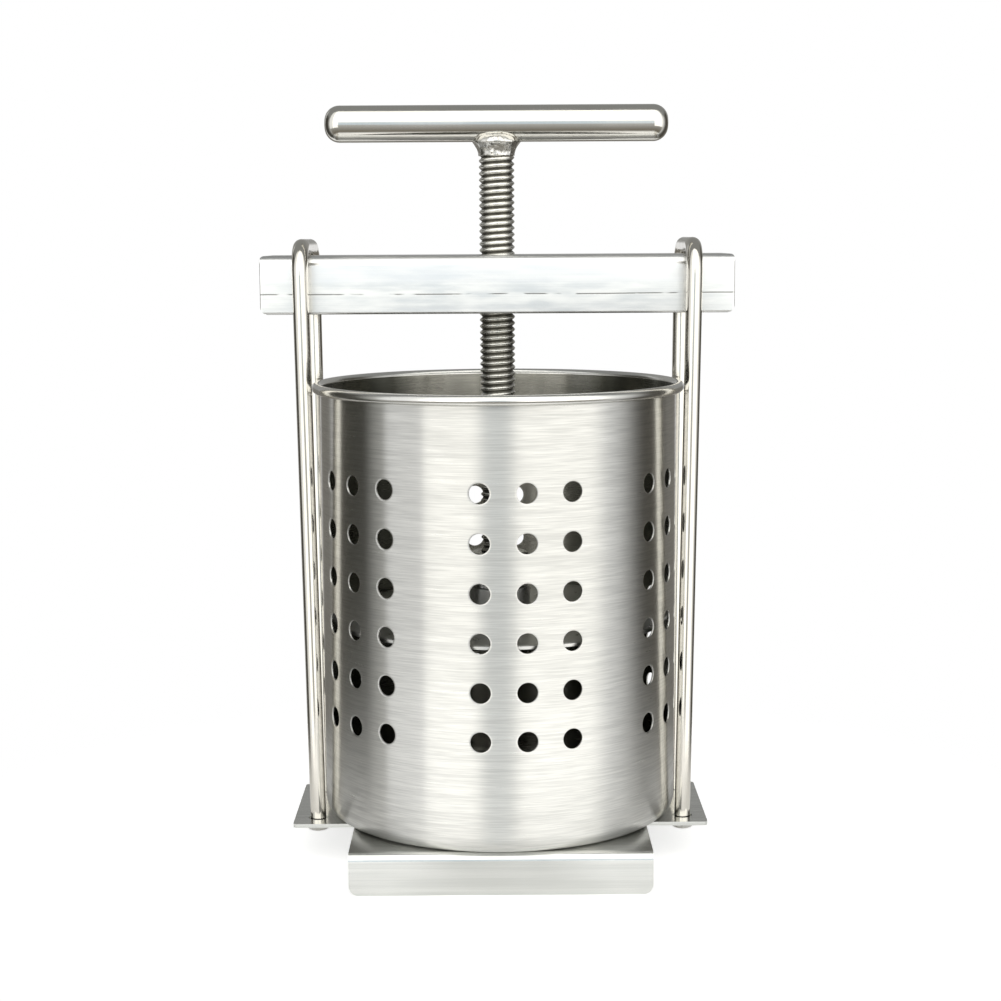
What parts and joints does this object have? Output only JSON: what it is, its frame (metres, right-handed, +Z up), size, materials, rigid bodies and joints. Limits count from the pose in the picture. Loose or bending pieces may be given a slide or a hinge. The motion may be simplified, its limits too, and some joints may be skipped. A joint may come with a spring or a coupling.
{
  "type": "vegetable screw press",
  "caption": "Table-top vegetable screw press: perforated steel bucket on a bent sheet base, rod hoops holding a crossbar, and a T-handled screw that drives a round press plate.",
  "frame": {"origin": "on the table, under the screw's axis, midway between the base's legs", "axes": "+Z up along the screw, +X along the crossbar and the handle to the picture's right, +Y to the back"},
  "size_m": [0.2362, 0.1904, 0.3826],
  "materials": {
    "base_steel": "rolled sheet, satin",
    "rod_steel": "polished",
    "weld_steel": "as welded, lightly brushed",
    "bar_aluminium": "drawn, satin",
    "bucket_steel": "brushed round the axis",
    "plate_steel": "satin",
    "fastener_steel": "machined",
    "screw_steel": "turned",
    "handle_steel": "polished"
  },
  "bodies": {
    "frame": {"base_plate": "base_steel", "left_hoop": "rod_steel", "right_hoop": "rod_steel", "hoop_welds": "weld_steel", "crossbar": "bar_aluminium"},
    "bucket": {"bucket": "bucket_steel"},
    "press": {"press_plate": "plate_steel", "plate_hub": "plate_steel", "hub_weld": "weld_steel"},
    "screw": {"screw": "screw_steel", "t_handle": "handle_steel", "handle_weld": "weld_steel", "stop_nut": "fastener_steel", "thrust_washer": "fastener_steel", "tip_washer": "fastener_steel", "tip_bolt": "fastener_steel"}
  },
  "joints": [
    {"name": "bucket_lift", "type": "slide", "parent": "frame", "child": "bucket", "axis": [0, 0, 1], "range_m": [0, 0.0345]},
    {"name": "press_travel", "type": "slide", "parent": "frame", "child": "press", "axis": [0, 0, 1], "range_m": [-0.0487, 0.1231]},
    {"name": "screw_turn", "type": "hinge", "parent": "press", "child": "screw", "pos_m": [0, 0, 0.25], "axis": [0, 0, 1], "range_deg": [-5470, 13840]}
  ],
  "couplings": [
    {"joint": "press_travel", "follows": "screw_turn", "m_per_rad": 0.0005093}
  ]
}
